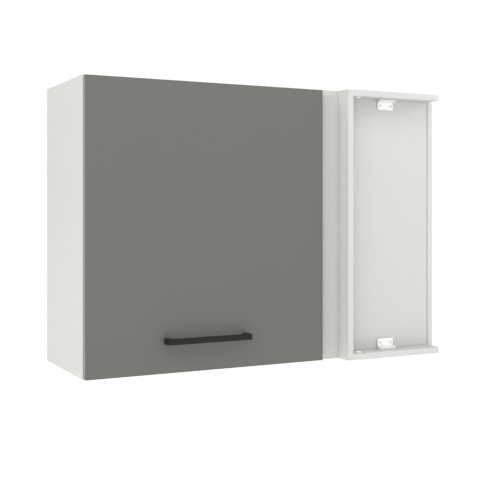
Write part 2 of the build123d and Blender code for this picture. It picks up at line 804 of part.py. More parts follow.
def hinge_plate(x):
    """The mounting plate: a wing under the top panel and a block that the arm sits on."""
    slab((x - plate_length / 2, x + plate_length / 2),
         (front + plate_setback - plate_depth / 2, front + plate_setback + plate_depth / 2),
         (inner_top - plate_thickness, inner_top))
    body = arm_inside / 2 - plate_body_play
    slab((x - body, x + body), (front + plate_body_start, arm_rear),
         (arm_low + arm_wall, inner_top))
    for dx in (-plate_spacing / 2, plate_spacing / 2):
        seat = Vector(x + dx, front + plate_setback, inner_top - plate_thickness)
        wood_pilot(seat, UP, plate_thickness)
    for setback in arm_screw_setbacks:
        bore(Vector(x, front + setback, arm_low), UP, arm_screw_radius, arm_screw_length)


for name, x in hinge_columns.items():
    with BuildPart() as cup:
        hinge_cup(x)
    finish(cup, f"hinge_cup_{name}")
    with BuildPart() as link:
        hinge_link(x)
    finish(link, f"hinge_link_{name}")
    with BuildPart() as arm:
        hinge_arm(x)
    finish(arm, f"hinge_arm_{name}")
    with BuildPart() as plate:
        hinge_plate(x)
    finish(plate, f"hinge_plate_{name}")

with BuildPart() as hinge_cup_pins:
    for x in hinge_columns.values():
        rod(Vector(x - pin_half, hinge_pin_y, hinge_pin_z), RIGHT, hinge_pin_radius, 2 * pin_half)
finish(hinge_cup_pins, "hinge_cup_pins")

with BuildPart() as hinge_arm_rivets:
    for x in hinge_columns.values():
        rod(Vector(x - arm_outer / 2, rivet_y, rivet_z), RIGHT, arm_rivet_radius, arm_outer)
        for along in (RIGHT, -RIGHT):
            rod(Vector(x, rivet_y, rivet_z) + along * (arm_outer / 2), along,
                arm_rivet_head_radius, arm_rivet_head)
finish(hinge_arm_rivets, "hinge_arm_rivets")

with BuildPart() as hinge_cup_screws:
    for seat in cup_screws:
        wood_screw(seat, -BACK, cup_flange)
finish(hinge_cup_screws, "hinge_cup_screws")

with BuildPart() as hinge_plate_screws:
    for x in hinge_columns.values():
        for dx in (-plate_spacing / 2, plate_spacing / 2):
            wood_screw(Vector(x + dx, front + plate_setback, inner_top - plate_thickness), UP,
                       plate_thickness)
finish(hinge_plate_screws, "hinge_plate_screws")

with BuildPart() as hinge_arm_screws:
    for x in hinge_columns.values():
        for setback in arm_screw_setbacks:
            screw(Vector(x, front + setback, arm_low), UP, arm_screw_radius, arm_screw_length,
                  arm_screw_head_radius, arm_screw_head)
finish(hinge_arm_screws, "hinge_arm_screws")

# ---------------------------------------------------------------- gas strut

strut_line = strut_head - strut_foot
strut_closed = strut_line.length
strut_way = strut_line.normalized()
ball_room = strut_ball_radius + running_clearance

def ball_stud(ball, side, length):
    """A ball on a neck that runs from its centre towards one side."""
    with BuildSketch(Plane(origin=ball, x_dir=side, z_dir=UP)) as profile:
        Circle(strut_ball_radius)
        Rectangle(length, 2 * strut_neck_radius, align=(Align.MIN, Align.CENTER))
        Rectangle(4 * length, 4 * length, align=(Align.CENTER, Align.MAX), mode=Mode.SUBTRACT)
    revolve(profile.sketch, axis=Axis(ball, side))


with BuildPart() as strut_foot_bracket:
    slab((inner_left, inner_left + foot_plate),
         (strut_foot.Y - foot_plate_width / 2, strut_foot.Y + foot_plate_width / 2),
         (strut_foot.Z - foot_plate_height / 2, strut_foot.Z + foot_plate_height / 2))
    ball_stud(strut_foot, -RIGHT, strut_stand)
    for seat in foot_screws:
        wood_pilot(seat, -RIGHT, foot_plate)
finish(strut_foot_bracket, "strut_foot_bracket")

with BuildPart() as strut_foot_screws:
    for seat in foot_screws:
        wood_screw(seat, -RIGHT, foot_plate)
finish(strut_foot_screws, "strut_foot_screws")


def socket(ball, way, side):
    """A ball socket with a shank towards the strut and its mouth on one side."""
    closed = ball_room + strut_socket_wall
    rod(ball - side * closed, side, strut_socket_radius, closed + strut_socket_mouth)
    rod(ball, way, strut_shank_radius, strut_shank_end)
    rod(ball + side * strut_socket_mouth, -side, ball_room, strut_socket_mouth + ball_room,
        mode=Mode.SUBTRACT)


with BuildPart() as strut_foot_socket:
    socket(strut_foot, strut_way, -RIGHT)
finish(strut_foot_socket, "strut_foot_socket")

tube_start = strut_foot + strut_way * strut_shank_end
tube_length = strut_closed - 2 * strut_shank_end - strut_rod_showing
tube_bore = strut_tube_radius - strut_tube_wall

with BuildPart() as strut_tube:
    rod(tube_start, strut_way, strut_tube_radius, tube_length)
    rod(tube_start + strut_way * strut_tube_base, strut_way, tube_bore,
        tube_length - strut_tube_base, mode=Mode.SUBTRACT)
finish(strut_tube, "strut_tube")

gland_start = tube_start + strut_way * (tube_length - strut_gland)

with BuildPart() as strut_gland_ring:
    rod(gland_start, strut_way, tube_bore, strut_gland)
    rod(gland_start, strut_way, strut_rod_radius + running_clearance, strut_gland,
        mode=Mode.SUBTRACT)
finish(strut_gland_ring, "strut_gland")

piston_start = tube_start + strut_way * (strut_tube_base + strut_piston_play)

with BuildPart() as strut_piston_disc:
    rod(piston_start, strut_way, tube_bore - running_clearance, strut_piston)
finish(strut_piston_disc, "strut_piston")

rod_start = piston_start + strut_way * strut_piston
rod_end = strut_head - strut_way * (strut_shank_end - strut_rod_seat)

with BuildPart() as strut_rod:
    rod(rod_start, strut_way, strut_rod_radius, (rod_end - rod_start).length)
finish(strut_rod, "strut_rod")

with BuildPart() as strut_head_socket:
    socket(strut_head, -strut_way, RIGHT)
    bore(strut_head - strut_way * strut_shank_end, strut_way, strut_rod_radius, strut_rod_seat)
finish(strut_head_socket, "strut_head_socket")

with BuildPart() as strut_head_ball:
    ball_stud(strut_head, RIGHT, strut_socket_mouth)
finish(strut_head_ball, "strut_head_ball")

with BuildPart() as strut_head_bracket:
    slab((head_ear_x, head_ear_x + head_plate_width), (door_back, door_back + head_ear),
         (strut_head.Z - head_plate_height / 2, strut_head.Z + head_plate_height / 2))
    slab((head_ear_x, head_ear_x + head_ear),
         (door_back, strut_head.Y + strut_socket_radius),
         (strut_head.Z - head_ear_height / 2, strut_head.Z + head_ear_height / 2))
    stud_tip = strut_x + strut_socket_mouth + strut_open_gap
    rod(Vector(head_ear_x, strut_head.Y, strut_head.Z), -RIGHT, strut_neck_radius,
        head_ear_x - stud_tip)
    for seat in head_screws:
        wood_pilot(seat, -BACK, head_ear)
finish(strut_head_bracket, "strut_head_bracket")

with BuildPart() as strut_head_screws:
    for seat in head_screws:
        wood_screw(seat, -BACK, head_ear)
finish(strut_head_screws, "strut_head_screws")

# ---------------------------------------------------------------- how the strut moves

def opened(point):
    """Where a point of the door is when the door has been lifted a quarter turn."""
    dy = point.Y - lift_y
    dz = point.Z - lift_z
    return Vector(point.X, lift_y + dz, lift_z - dy)


def lean(line):
    """How far a line leans forward from upright, in radians."""
    return atan2(-line.Y, line.Z)


open_line = opened(strut_head) - strut_foot
print("lift axis y, z", round(lift_y, 3), round(lift_z, 3))
print("hinge pin y, z", round(hinge_pin_y, 3), round(hinge_pin_z, 3))
print("strut foot", tuple(round(value, 3) for value in strut_foot))
print("strut direction", tuple(round(value, 6) for value in strut_way))
print("strut shut and open", round(strut_closed, 3), round(open_line.length, 3))
print("strut swing, degrees", round(degrees(lean(open_line) - lean(strut_line)), 4))
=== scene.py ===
# %% [markdown]
# # A corner wall cabinet, dressed for its picture
#
# The construction comes ready-made: boards, door, hinges and strut arrive as meshes that
# already stand in their places. This lesson gives them their finishes, models anew the
# pieces that need softer or finer shapes than a construction model has, and sets up the
# floor, the light and the camera. Lengths are in metres, but for the camera's lens and
# sensor, which are in millimetres.

import json
import math
from contextlib import contextmanager

import bmesh
import bpy
from mathutils import Matrix, Quaternion, Vector

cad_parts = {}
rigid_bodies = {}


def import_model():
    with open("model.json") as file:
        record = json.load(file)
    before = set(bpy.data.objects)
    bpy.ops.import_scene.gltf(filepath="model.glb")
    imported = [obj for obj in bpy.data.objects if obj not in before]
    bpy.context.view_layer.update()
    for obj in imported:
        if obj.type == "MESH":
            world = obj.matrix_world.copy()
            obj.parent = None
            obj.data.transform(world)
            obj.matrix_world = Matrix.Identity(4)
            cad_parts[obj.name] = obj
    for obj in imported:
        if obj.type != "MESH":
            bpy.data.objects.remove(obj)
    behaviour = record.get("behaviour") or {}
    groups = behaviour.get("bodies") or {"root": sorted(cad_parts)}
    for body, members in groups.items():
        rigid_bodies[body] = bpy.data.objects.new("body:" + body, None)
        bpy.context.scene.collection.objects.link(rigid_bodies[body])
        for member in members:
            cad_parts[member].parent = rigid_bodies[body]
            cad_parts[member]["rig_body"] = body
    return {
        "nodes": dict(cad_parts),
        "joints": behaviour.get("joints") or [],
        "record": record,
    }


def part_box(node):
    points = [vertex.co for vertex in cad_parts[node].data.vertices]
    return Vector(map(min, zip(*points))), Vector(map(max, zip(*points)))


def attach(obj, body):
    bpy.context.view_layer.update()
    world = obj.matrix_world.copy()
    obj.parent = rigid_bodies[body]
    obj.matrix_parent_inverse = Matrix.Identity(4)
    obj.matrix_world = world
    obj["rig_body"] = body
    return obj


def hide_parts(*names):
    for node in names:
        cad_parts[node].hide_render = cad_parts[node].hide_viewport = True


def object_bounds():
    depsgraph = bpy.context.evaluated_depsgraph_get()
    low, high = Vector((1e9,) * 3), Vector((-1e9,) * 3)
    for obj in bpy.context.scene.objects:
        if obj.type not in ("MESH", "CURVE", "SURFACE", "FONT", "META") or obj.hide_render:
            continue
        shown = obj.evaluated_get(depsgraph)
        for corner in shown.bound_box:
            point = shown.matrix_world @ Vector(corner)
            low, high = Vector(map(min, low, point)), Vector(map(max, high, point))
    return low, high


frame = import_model()
nodes = frame["nodes"]
cad_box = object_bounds()
low, high = (Vector(corner) for corner in cad_box)
print("construction pieces:", len(nodes), "from", low, "to", high)

# %% [markdown]
# ## Shader maths that reads like arithmetic
#
# A node tree is easier to follow when a formula looks like a formula. Nodes could be
# added one by one, with a link from each to the next, but then the sum that they work out
# is hard to see. So `Value` wraps one socket that carries a number, and the operators on
# it add the Math nodes.

# %% A number on the surface


class Value:
    """A number that changes over the surface, as one output socket of a node tree."""

    def __init__(self, tree, socket):
        self.tree = tree
        self.socket = socket

    def _with(self, operation, other):
        return self.tree.value("ShaderNodeMath", {"operation": operation}, {0: self, 1: other})

    def __add__(self, other):
        return self._with("ADD", other)

    def __sub__(self, other):
        return self._with("SUBTRACT", other)

    def __mul__(self, other):
        return self._with("MULTIPLY", other)

    def __rsub__(self, other):
        return self * -1.0 + other

    __radd__ = __add__
    __rmul__ = __mul__

    def over(self, edge):
        """1 where this is more than edge, and 0 elsewhere."""
        return self._with("GREATER_THAN", edge)

    def around(self, middle, swing):
        """The same pattern, with its 0.5 moved to middle and its range scaled by swing."""
        return (self - 0.5) * swing + middle

    def between(self, start, end):
        """The same pattern, with its 0 moved to start and its 1 to end."""
        return self * (end - start) + start


print("numbers can be worked with")

# %% [markdown]
# ## Any node from one method
#
# A material or a world keeps its nodes in a tree. Each kind of node has settings and
# inputs of its own, but one method that takes both can add them all, and that keeps the
# recipes short. An input gets either a link or a constant.

# %% A node tree


class NodeTree:
    """The node tree of a material or a world."""

    def __init__(self, tree):
        self.tree = tree

    def node(self, kind, settings=None, inputs=None):
        """Adds a node, sets what it does, then fills or links its inputs."""
        added = self.tree.nodes.new(kind)
        for name, setting in (settings or {}).items():
            setattr(added, name, setting)
        for key, source in (inputs or {}).items():
            self.feed(added.inputs[key], source)
        return added

    def value(self, kind, settings, inputs, output=0):
        """As node, but returns one of its outputs as a Value."""
        return Value(self, self.node(kind, settings, inputs).outputs[output])

    def feed(self, socket, source):
        """Links a socket to a Value or a socket, or sets it to a constant."""
        if isinstance(source, Value):
            source = source.socket
        if isinstance(source, bpy.types.NodeSocket):
            self.tree.links.new(source, socket)
        else:
            socket.default_value = source


print("node trees can be filled")

# %% [markdown]
# ## A material and its patterns
#
# A new material starts with a Principled shader, which stands for the surface. A real
# surface varies: clouds of tone, grains, scratches, a line where one finish ends.
# `Shader` has a method for each of these, and the last one sets the surface's sockets.
# Every pattern reads Object coordinates, which on these pieces are metres of the real
# thing, so its scale can be given as a count of spots per metre. A Mix node keeps its
# sockets for numbers, vectors and colours side by side, and the constants name those for
# colours.

# %% Patterns
MIX_AMOUNT = 0
MIX_FIRST = 6
MIX_SECOND = 7
MIX_RESULT = 2
NEUTRAL = (1.0, 1.0, 1.0)


def grey(level, tint=NEUTRAL):
    """An opaque colour of one lightness, tinted a little."""
    return (level * tint[0], level * tint[1], level * tint[2], 1.0)


class Shader(NodeTree):
    """A new material's tree, with the patterns that its finish is made of."""

    def __init__(self, name):
        self.material = bpy.data.materials.new(name)
        self.material.use_nodes = True
        super().__init__(self.material.node_tree)
        self.surface = next(n for n in self.tree.nodes if n.type == "BSDF_PRINCIPLED")
        self.place = self.node("ShaderNodeTexCoord").outputs["Object"]

    def along(self, axis):
        """How far along X, Y or Z the surface lies."""
        return self.value("ShaderNodeSeparateXYZ", {}, {"Vector": self.place}, axis)

    def stretched(self, scale):
        """The surface's place, with each axis stretched by its own factor."""
        inputs = {"Vector": self.place, "Scale": scale}
        return self.node("ShaderNodeMapping", {}, inputs).outputs[0]

    def noise(self, per_metre, detail=2.0, place=None):
        """Soft random spots, with values from 0 to 1."""
        inputs = {"Vector": place or self.place, "Scale": per_metre, "Detail": detail}
        return self.value("ShaderNodeTexNoise", {}, inputs)

    def cells(self, per_metre):
        """The distance to the nearest of many scattered points."""
        return self.value("ShaderNodeTexVoronoi", {}, {"Vector": self.place, "Scale": per_metre})

    def blend(self, amount, first, second):
        """A colour between two colours."""
        inputs = {MIX_AMOUNT: amount, MIX_FIRST: first, MIX_SECOND: second}
        return self.node("ShaderNodeMix", {"data_type": "RGBA"}, inputs).outputs[MIX_RESULT]

    def mottled(self, amount, level, tint, darkest, lightest):
        """A tinted grey that shifts between two shares of its level."""
        return self.blend(amount, grey(level * darkest, tint), grey(level * lightest, tint))

    def bump(self, height, depth, strength=1.0):
        """A normal that makes height look like relief of the given depth."""
        inputs = {"Height": height, "Distance": depth, "Strength": strength}
        return self.node("ShaderNodeBump", {}, inputs).outputs["Normal"]

    def finish(self, **sockets):
        """Sets the surface's sockets, with _ for the space in their names."""
        for name, source in sockets.items():
            self.feed(self.surface.inputs[name.replace("_", " ")], source)
        return self.material


print("materials can be made")

# %% [markdown]
# ## White board
#
# The boards are chipboard pressed between sheets of white melamine paper. The paper's
# surface has a fine, hardly visible pearl grain from the press plate, and its white is
# slightly warm and green. A single flat colour would pass from afar, but up close a fine
# noise for the relief and a broad one for the gloss tell such a board from white paint.
# The front edge is closed with a strip of plastic, a little cooler and glossier than the
# paper, so the material changes just behind each board's front.

# %% White melamine
WHITE_TINT = (1.0, 1.013, 0.962)
WHITE_LEVEL = 0.572
STRIP_TINT = (1.0, 1.010, 0.985)
STRIP_LEVEL = 0.590
STRIP_THICK = 0.0008
STRIP_SMOOTHER = 0.10


def melamine(name, front=None):
    """Pressed melamine paper, with a plastic strip on the edge at front, if that is given."""
    shader = Shader(name)
    grain = shader.noise(per_metre=1400.0, detail=3.0)
    cloud = shader.noise(per_metre=9.0)
    colour = shader.mottled(cloud, WHITE_LEVEL, WHITE_TINT, darkest=0.99, lightest=1.01)
    rough = cloud.around(grain.around(0.42, swing=0.10), swing=0.05)
    if front is not None:
        paper = shader.along("Y").over(front + STRIP_THICK)
        colour = shader.blend(paper, grey(STRIP_LEVEL, STRIP_TINT), colour)
        rough = rough - (1.0 - paper) * STRIP_SMOOTHER
    return shader.finish(Base_Color=colour, Roughness=rough,
                         Normal=shader.bump(grain, depth=0.00004, strength=0.35),
                         Specular_IOR_Level=0.45)


white_board = melamine("white melamine")
print("made", white_board.name)

# %% [markdown]
# ## The grey front
#
# The front is the same kind of board with a matt, warm grey face. In the picture it is
# very even, so its clouds of tone are broader than on the white boards. Its edge band is
# a strip of plastic whose sides are paler than the face. The band could be split into two
# materials by its faces, but its front edge is rounded later, so the colour changes at a
# depth behind the face instead.

# %% Grey face and its edge band
GREY_TINT = (1.0, 1.03, 0.925)
GREY_FACE = 0.132
GREY_BAND = 0.218
BAND_FRONT = 0.0006


def matt_face(name, rough, edge_from=None):
    """Even matt lacquer with a microscopic orange peel, paler behind edge_from."""
    shader = Shader(name)
    peel = shader.noise(per_metre=900.0, detail=4.0)
    cloud = shader.noise(per_metre=5.0, detail=3.0)
    colour = shader.mottled(cloud, GREY_FACE, GREY_TINT, darkest=0.985, lightest=1.015)
    if edge_from is not None:
        behind = shader.along("Y").over(edge_from)
        colour = shader.blend(behind, colour, grey(GREY_BAND, GREY_TINT))
    return shader.finish(Base_Color=colour, Roughness=peel.around(rough, swing=0.08),
                         Normal=shader.bump(peel, depth=0.00005, strength=0.3),
                         Specular_IOR_Level=0.35)


door_face_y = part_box("door_panel")[0].y
grey_front = matt_face("warm grey face", rough=0.55)
grey_edge = matt_face("grey edge band", rough=0.5, edge_from=door_face_y + BAND_FRONT)
print("made", grey_front.name, "and", grey_edge.name)

# %% [markdown]
# ## Powder coat
#
# The handle is powder-coated. Powder coat is a skin of melted grains, so its relief is
# rounder and coarser than that of paint. The distance to scattered points gives such
# round bumps, where noise would give wrinkles.

# %% Powder coat


def powder_coat(name, level):
    """Baked powder: dark, matt, with rounded grains about half a millimetre across."""
    shader = Shader(name)
    grains = shader.cells(per_metre=1900.0)
    patch = shader.noise(per_metre=60.0)
    colour = shader.mottled(patch, level, GREY_TINT, darkest=0.9, lightest=1.15)
    return shader.finish(Base_Color=colour, Roughness=patch.around(0.5, swing=0.1),
                         Normal=shader.bump(grains, depth=0.00008, strength=0.4),
                         Specular_IOR_Level=0.17)


black_metal = powder_coat("black powder coat", level=0.016)
print("made", black_metal.name)

# %% [markdown]
# ## Moulded plastics
#
# Moulded plastic is smooth, with the faint bloom that a spark-eroded mould leaves. The
# angle brackets show two whites in the picture: the leg on the panel is almost pure
# white, and the leg on the board, which lies in the shade of the board, is darker. That
# darker grey is painted shade, with its border just above the inner corner. One material
# paints it, because it can tell the two legs apart by how high they lie, and the same two
# levels serve the upper and the lower bracket.

# %% Plastics
PLASTIC_TINT = (1.0, 1.003, 0.972)
# painted shade: the darker grey of the legs that lie in the shade of the boards
PAINTED_SHADE_GREY = grey(0.80, PLASTIC_TINT)
PAINTED_SHADE_UP_TO = 0.0083


def moulded(name, dark, light, rough, tint=NEUTRAL, unshaded_between=None):
    """Moulded plastic, with painted shade below and above two levels, if those are given."""
    shader = Shader(name)
    spark = shader.noise(per_metre=2200.0, detail=3.0)
    flow = shader.noise(per_metre=66.0)
    colour = shader.blend(flow, grey(dark, tint), grey(light, tint))
    if unshaded_between is not None:
        bottom, top = unshaded_between
        level = shader.along("Z")
        # painted shade below the lower level and above the upper one
        colour = shader.blend(level.over(bottom) - level.over(top), PAINTED_SHADE_GREY, colour)
    return shader.finish(Base_Color=colour, Roughness=spark.around(rough, swing=0.12),
                         Normal=shader.bump(spark, depth=0.00003, strength=0.3))


# the levels between which the brackets get no painted shade
unshaded_levels = (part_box("centre_bracket_bottom")[0].z + PAINTED_SHADE_UP_TO,
                  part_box("centre_bracket_top")[1].z - PAINTED_SHADE_UP_TO)
white_plastic = moulded("white moulded plastic", dark=0.885, light=0.905, rough=0.34,
                        tint=PLASTIC_TINT)
bracket_plastic = moulded("white plastic of the brackets", dark=0.92, light=0.94, rough=0.34,
                          tint=PLASTIC_TINT, unshaded_between=unshaded_levels)
clear_plastic = moulded("milky soft plastic", dark=0.72, light=0.80, rough=0.30)
black_plastic = moulded("black nylon", dark=0.022, light=0.030, rough=0.45)
print("brackets are brightest between", unshaded_levels)

# %% [markdown]
# ## Plated steel
#
# Plated steel keeps the fine scratches of the tumbling drum, and drawn or pressed pieces
# show them longer one way. An anisotropic shader could do that too, but noise stretched
# along an axis also survives the export of the materials.

# %% Nickel, zinc and chrome


def plated(name, level, tint, rough, scratches=(1.0, 1.0, 1.0)):
    """Plated steel: bright, with faint scratches that are longer where a factor is small."""
    shader = Shader(name)
    marks = shader.noise(per_metre=900.0, detail=3.0, place=shader.stretched(scratches))
    tone = shader.noise(per_metre=45.0, detail=3.0)
    colour = shader.mottled(tone, level, tint, darkest=0.95, lightest=1.04)
    return shader.finish(Base_Color=colour, Metallic=1.0,
                         Roughness=marks.around(rough, swing=0.12),
                         Normal=shader.bump(marks, depth=0.000008, strength=0.3))


nickel = plated("nickel-plated steel", level=0.72, tint=(1.0, 0.985, 0.95), rough=0.30,
                scratches=(1.0, 0.3, 1.0))
zinc = plated("zinc-plated steel", level=0.78, tint=(0.995, 1.0, 1.01), rough=0.42)
chrome = plated("hard-chromed rod", level=0.78, tint=NEUTRAL, rough=0.10,
                scratches=(1.0, 0.2, 0.2))
print("made", len(bpy.data.materials), "materials so far")

# %% [markdown]
# ## Lacquered tube
#
# The strut's tube is steel under a light grey lacquer. The lacquer flows out smooth, so
# it has hardly any relief, and a thin clear coat on top gives the second, sharper
# reflection that tells lacquer from bare plastic.

# %% Lacquer


def lacquer(name, level):
    """Smooth lacquer over steel, under a thin clear coat."""
    shader = Shader(name)
    peel = shader.noise(per_metre=350.0)
    colour = shader.mottled(peel, level, NEUTRAL, darkest=0.97, lightest=1.03)
    return shader.finish(Base_Color=colour, Roughness=peel.around(0.35, swing=0.06),
                         Normal=shader.bump(peel, depth=0.00003, strength=0.25),
                         Coat_Weight=0.4, Coat_Roughness=0.15)


grey_tube = lacquer("light grey lacquer", level=0.42)
print("made", grey_tube.name)

# %% [markdown]
# ## Beech dowels
#
# Dowels are beech, whose short dark flecks run along the grain, and all the dowels here
# lie along X. Noise that is stretched along X gives the fibre, and a second, finer one
# gives the flecks where it is high.

# %% Beech
BEECH_DARK = (0.50, 0.33, 0.18, 1.0)
BEECH_LIGHT = (0.66, 0.47, 0.29, 1.0)
BEECH_FLECK = (0.30, 0.17, 0.08, 1.0)
FIBRE_STRETCH = (0.08, 1.0, 1.0)
FLECK_STRETCH = (0.2, 1.0, 1.0)
FLECK_ABOVE = 0.62
FLECK_STRENGTH = 0.4


def beech_wood(name):
    """Beech, whose grain and flecks run along X."""
    shader = Shader(name)
    fibre = shader.noise(per_metre=900.0, detail=4.0, place=shader.stretched(FIBRE_STRETCH))
    fleck = shader.noise(per_metre=1500.0, detail=1.0, place=shader.stretched(FLECK_STRETCH))
    wood = shader.blend(fibre, BEECH_DARK, BEECH_LIGHT)
    colour = shader.blend(fleck.over(FLECK_ABOVE) * FLECK_STRENGTH, wood, BEECH_FLECK)
    return shader.finish(Base_Color=colour, Roughness=0.62,
                         Normal=shader.bump(fibre, depth=0.0001))


beech = beech_wood("beech")
print("made", beech.name)

# %% [markdown]
# ## Hardboard back
#
# The back sheet is hardboard, painted white on the side that shows inside the cabinet and
# brown and fuzzy at the rear. It is one piece, so one material tells the two faces apart
# by where they lie. Fine fibres and broader blotches together give the brown its mottle,
# and the paint hides all but a tenth of the fibres' relief.

# %% Hardboard
BROWN_DARK = (0.14, 0.074, 0.034, 1.0)
BROWN_LIGHT = (0.32, 0.192, 0.102, 1.0)
FIBRE_SHARE = 0.6
REAR_FACE = -0.0004
REAR_ROUGH = 0.80
PAINT_SHARE = 0.97
PAINT_ROUGH = 0.45
PAINT_RELIEF = 0.1


def hardboard(name):
    """Pressed fibre sheet: white paint in front, bare brown behind."""
    shader = Shader(name)
    behind = shader.along("Y").over(REAR_FACE)
    fibre = shader.noise(per_metre=420.0, detail=6.0)
    blotch = shader.noise(per_metre=28.0, detail=5.0)
    mottle = fibre * FIBRE_SHARE + blotch * (1.0 - FIBRE_SHARE)
    colour = shader.blend(behind, grey(WHITE_LEVEL * PAINT_SHARE, WHITE_TINT),
                          shader.blend(mottle, BROWN_DARK, BROWN_LIGHT))
    relief = fibre * behind.between(PAINT_RELIEF, 1.0)
    return shader.finish(Base_Color=colour, Roughness=behind.between(PAINT_ROUGH, REAR_ROUGH),
                         Normal=shader.bump(relief, depth=0.0002, strength=0.5))


back_sheet = hardboard("hardboard")
print("made", len(bpy.data.materials), "materials")

# %% [markdown]
# ## Give each construction piece its finish
#
# The record lists a finish for every piece under a short name. One table turns those
# names into the materials made above, so no piece can be forgotten.

# %% Assign the finishes
finishes = {
    "white_board": white_board,
    "back_sheet": back_sheet,
    "grey_front": grey_front,
    "grey_edge": grey_edge,
    "black_metal": black_metal,
    "white_plastic": white_plastic,
    "clear_plastic": clear_plastic,
    "plated_steel": nickel,
    "zinc_steel": zinc,
    "chrome_steel": chrome,
    "grey_tube": grey_tube,
    "black_plastic": black_plastic,
    "beech": beech,
}
slots = {part["node"]: part["material_slot"] for part in frame["record"]["subparts"]}
for node, slot in slots.items():
    mesh = nodes[node].data
    mesh.materials.clear()
    mesh.materials.append(finishes[slot])
print("finished", len(slots), "pieces")

# %% [markdown]
# ## Boards with a strip on their front edge
#
# The front edges of three groups of boards lie in three planes: the carcass, the shelf
# behind it, and the spacer frame that stands out in front. The strip's material starts
# at such a plane, so each group gets its own copy of the melamine. The panel behind the
# spacer frame has no strip, because its edges are hidden.

# %% Strips
banded = {
    "carcass": ("left_side", "right_side", "top_panel", "bottom_panel"),
    "shelf": ("shelf",),
    "spacer": ("spacer_side", "spacer_top", "spacer_bottom"),
}
for group, boards in banded.items():
    with_strip = melamine("white melamine of the " + group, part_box(boards[0])[0].y)
    for node in boards:
        nodes[node].data.materials[0] = with_strip
    print(with_strip.name, "is on", len(boards), "boards")

# %% [markdown]
# ## Modelling by hand
#
# The remaining pieces are modelled as one would at the screen: a primitive is added at
# its place, shaped in edit mode, and finished with modifiers. An operator acts on all
# that is selected, so everything is deselected first, and faces and edges are then
# selected in code, by where they lie and which way they look.

# %% Starting a piece
SIDES = 32


def only(piece):
    """Makes one object the selected and active one."""
    bpy.ops.object.select_all(action="DESELECT")
    piece.select_set(True)
    bpy.context.view_layer.objects.active = piece


def apply_place(piece):
    """Moves a piece's place, turn and size from the object into its mesh."""
    only(piece)
    bpy.ops.object.transform_apply(location=True, rotation=True, scale=True)
    return piece


def block(name, x, y, z):
    """A block between two values along each axis, as the start of a piece."""
    bpy.ops.object.select_all(action="DESELECT")
    middle = [(start + end) / 2 for start, end in (x, y, z)]
    bpy.ops.mesh.primitive_cube_add(size=1.0, location=middle)
    piece = bpy.context.object
    piece.name = name
    piece.scale = [end - start for start, end in (x, y, z)]
    return apply_place(piece)


def disc(name, start, along, radius, length, sides=SIDES):
    """A round bar that runs from a point in one direction, as the start of a piece."""
    bpy.ops.object.select_all(action="DESELECT")
    along = Vector(along).normalized()
    bpy.ops.mesh.primitive_cylinder_add(
        vertices=sides, radius=radius, depth=length, location=Vector(start) + along * length / 2,
        rotation=along.to_track_quat("Z", "Y").to_euler())
    piece = bpy.context.object
    piece.name = name
    return apply_place(piece)


print("pieces can be started")

# %% [markdown]
# ## Selecting by place and direction
#
# At the screen one clicks on a face. In code its middle and its normal say which one is
# meant, or the middle and direction of an edge. Both tests are short functions that are
# written where they are used. `MOSTLY` and `HARDLY` say how much of a direction lies
# along an axis.

# %% Selecting
ROUNDING = 1e-5
MOSTLY = 0.9
HARDLY = 0.1


@contextmanager
def editing(piece, kind="FACE"):
    """Edit mode on one piece, starting with nothing selected in it."""
    only(piece)
    bpy.ops.object.mode_set(mode="EDIT")
    bpy.ops.mesh.select_mode(type=kind)
    bpy.ops.mesh.select_all(action="DESELECT")
    yield
    bpy.ops.object.mode_set(mode="OBJECT")


def middle_of(part):
    """The middle of a face or an edge."""
    return sum((corner.co for corner in part.verts), Vector()) / len(part.verts)


def pick_faces(piece, test):
    """Selects the faces whose middle and normal pass a test."""
    mesh = bmesh.from_edit_mesh(piece.data)
    for face in mesh.faces:
        face.select_set(test(middle_of(face), face.normal))
    bmesh.update_edit_mesh(piece.data)


def pick_edges(piece, test):
    """Selects the edges whose middle and direction pass a test."""
    mesh = bmesh.from_edit_mesh(piece.data)
    for edge in mesh.edges:
        run = edge.verts[0].co - edge.verts[1].co
        edge.select_set(test(middle_of(edge), run.normalized()))
    bmesh.update_edit_mesh(piece.data)


def near(value, wanted):
    """Whether two lengths are the same but for rounding."""
    return abs(value - wanted) < ROUNDING


def box_around(points):
    """The lowest and the highest corner of the box around a list of points."""
    return [Vector(pick(point[axis] for point in points) for axis in range(3))
            for pick in (min, max)]


print("faces and edges can be selected")

# %% [markdown]
# ## Cutting, softening and handing over
#
# A Boolean modifier cuts recesses. A narrow Bevel modifier takes the sharpness off every
# edge, because no moulded or cast edge is sharp, and the thin highlight that it catches
# is most of what makes a small part look real. Each finished piece then gets its finish
# and the body it moves with, and the construction piece that it stands for is hidden.

# %% Finishing helpers
SMOOTH_BELOW = math.radians(40)
SHARP_ABOVE = math.radians(35)


def with_modifier(piece, kind, **settings):
    """Adds a modifier and applies it at once."""
    only(piece)
    bpy.ops.object.modifier_add(type=kind)
    modifier = piece.modifiers[-1]
    for name, setting in settings.items():
        setattr(modifier, name, setting)
    bpy.ops.object.modifier_apply(modifier=modifier.name)


def cut(piece, tool):
    """Takes the tool's shape out of the piece."""
    with_modifier(piece, "BOOLEAN", operation="DIFFERENCE", solver="EXACT", object=tool)
    bpy.data.objects.remove(tool, do_unlink=True)


def soften(piece, width, segments=3):
    """Rounds every sharp edge, and shades the rest smooth."""
    with_modifier(piece, "BEVEL", width=width, segments=segments, limit_method="ANGLE",
                  angle_limit=SHARP_ABOVE)
    bpy.ops.object.shade_smooth_by_angle(angle=SMOOTH_BELOW)


def joined(name, pieces):
    """Several pieces as one."""
    only(pieces[0])
    for piece in pieces:
        piece.select_set(True)
    bpy.ops.object.join()
    bpy.context.object.name = name
    return bpy.context.object


def placed(pattern, matrix):
    """A copy of a piece, with its own mesh, moved by a matrix."""
    only(pattern)
    bpy.ops.object.duplicate(linked=False)
    piece = bpy.context.object
    piece.matrix_world = matrix
    return apply_place(piece)


